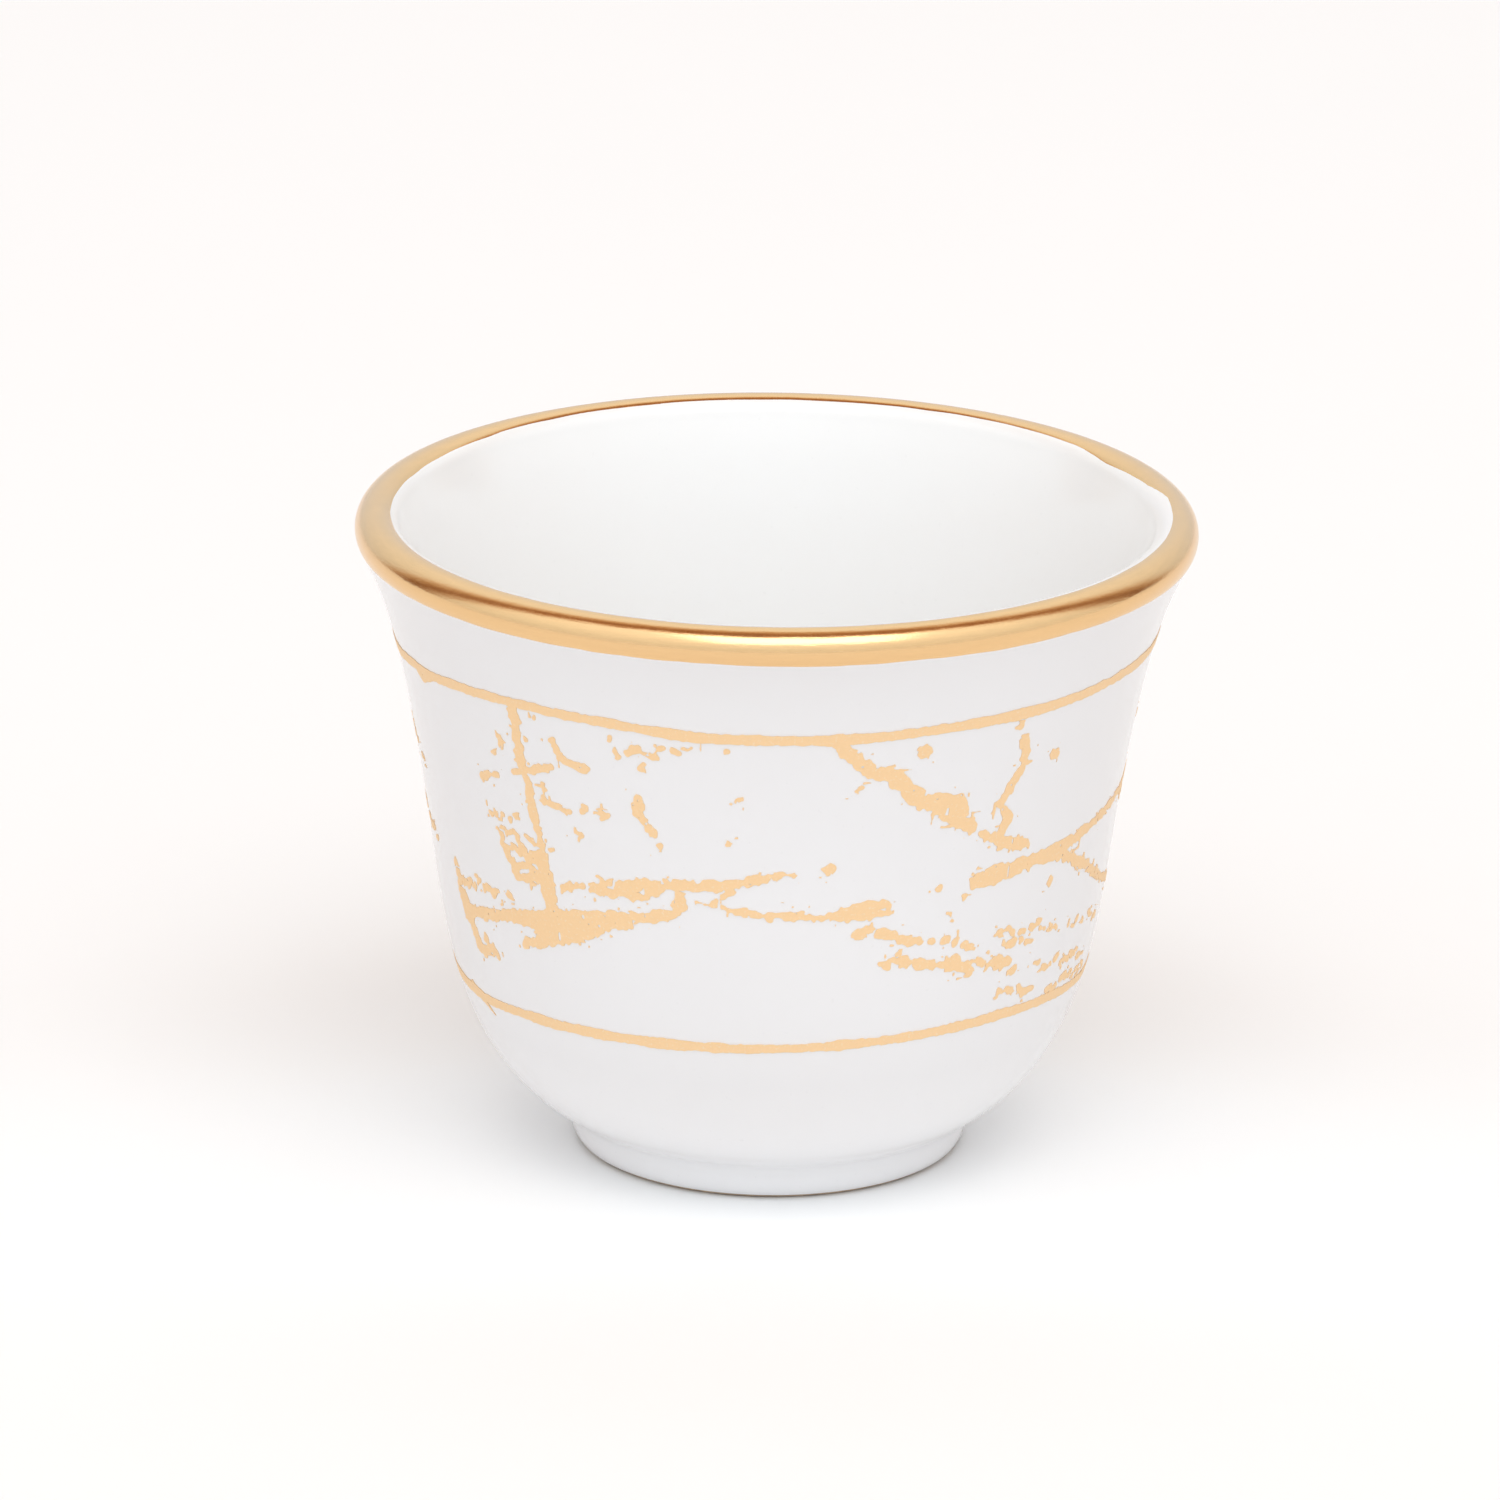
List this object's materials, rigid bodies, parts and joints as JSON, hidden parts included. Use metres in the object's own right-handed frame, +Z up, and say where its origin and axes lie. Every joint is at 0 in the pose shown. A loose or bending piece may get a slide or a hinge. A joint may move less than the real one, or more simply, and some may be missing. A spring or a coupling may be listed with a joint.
{
  "type": "handleless porcelain teacup",
  "caption": "Small handleless porcelain cup, flaring from a short foot ring to a rolled lip, with a gilded lip and a matte gold crackle print between fine gold lines.",
  "frame": {"origin": "centre of the foot ring on the plane that it rests on", "axes": "+Z up along the axis the cup is turned about, -Y towards the front of the print, +X to the right"},
  "size_m": [0.066, 0.066, 0.0525],
  "materials": {
    "bare_porcelain": "matte",
    "white_glaze": "gloss",
    "burnished_gold": "satin",
    "matte_print_gold": "matte"
  },
  "bodies": {
    "root": {"back_comma_mark": "matte_print_gold", "back_dash_mark": "matte_print_gold", "back_diagonal_streak": "matte_print_gold", "back_far_fleck": "matte_print_gold", "back_left_crackle": "matte_print_gold", "back_left_smudge": "matte_print_gold", "back_low_fleck": "matte_print_gold", "back_middle_fleck": "matte_print_gold", "back_ragged_streak": "matte_print_gold", "back_right_fork": "matte_print_gold", "back_right_streak": "matte_print_gold", "back_thin_streak": "matte_print_gold", "back_wedge_streak": "matte_print_gold", "bowl": "bare_porcelain", "foot_ring": "bare_porcelain", "front_comma_mark": "matte_print_gold", "front_dash_mark": "matte_print_gold", "front_diagonal_streak": "matte_print_gold", "front_far_fleck": "matte_print_gold", "front_left_crackle": "matte_print_gold", "front_left_smudge": "matte_print_gold", "front_low_fleck": "matte_print_gold", "front_middle_fleck": "matte_print_gold", "front_ragged_streak": "matte_print_gold", "front_right_fork": "matte_print_gold", "front_right_streak": "matte_print_gold", "front_thin_streak": "matte_print_gold", "front_wedge_streak": "matte_print_gold", "inner_glaze": "white_glaze", "lip_gilding": "burnished_gold", "lower_gold_line": "matte_print_gold", "outer_glaze": "white_glaze", "recess_glaze": "white_glaze", "upper_gold_line": "matte_print_gold"}
  },
  "joints": []
}
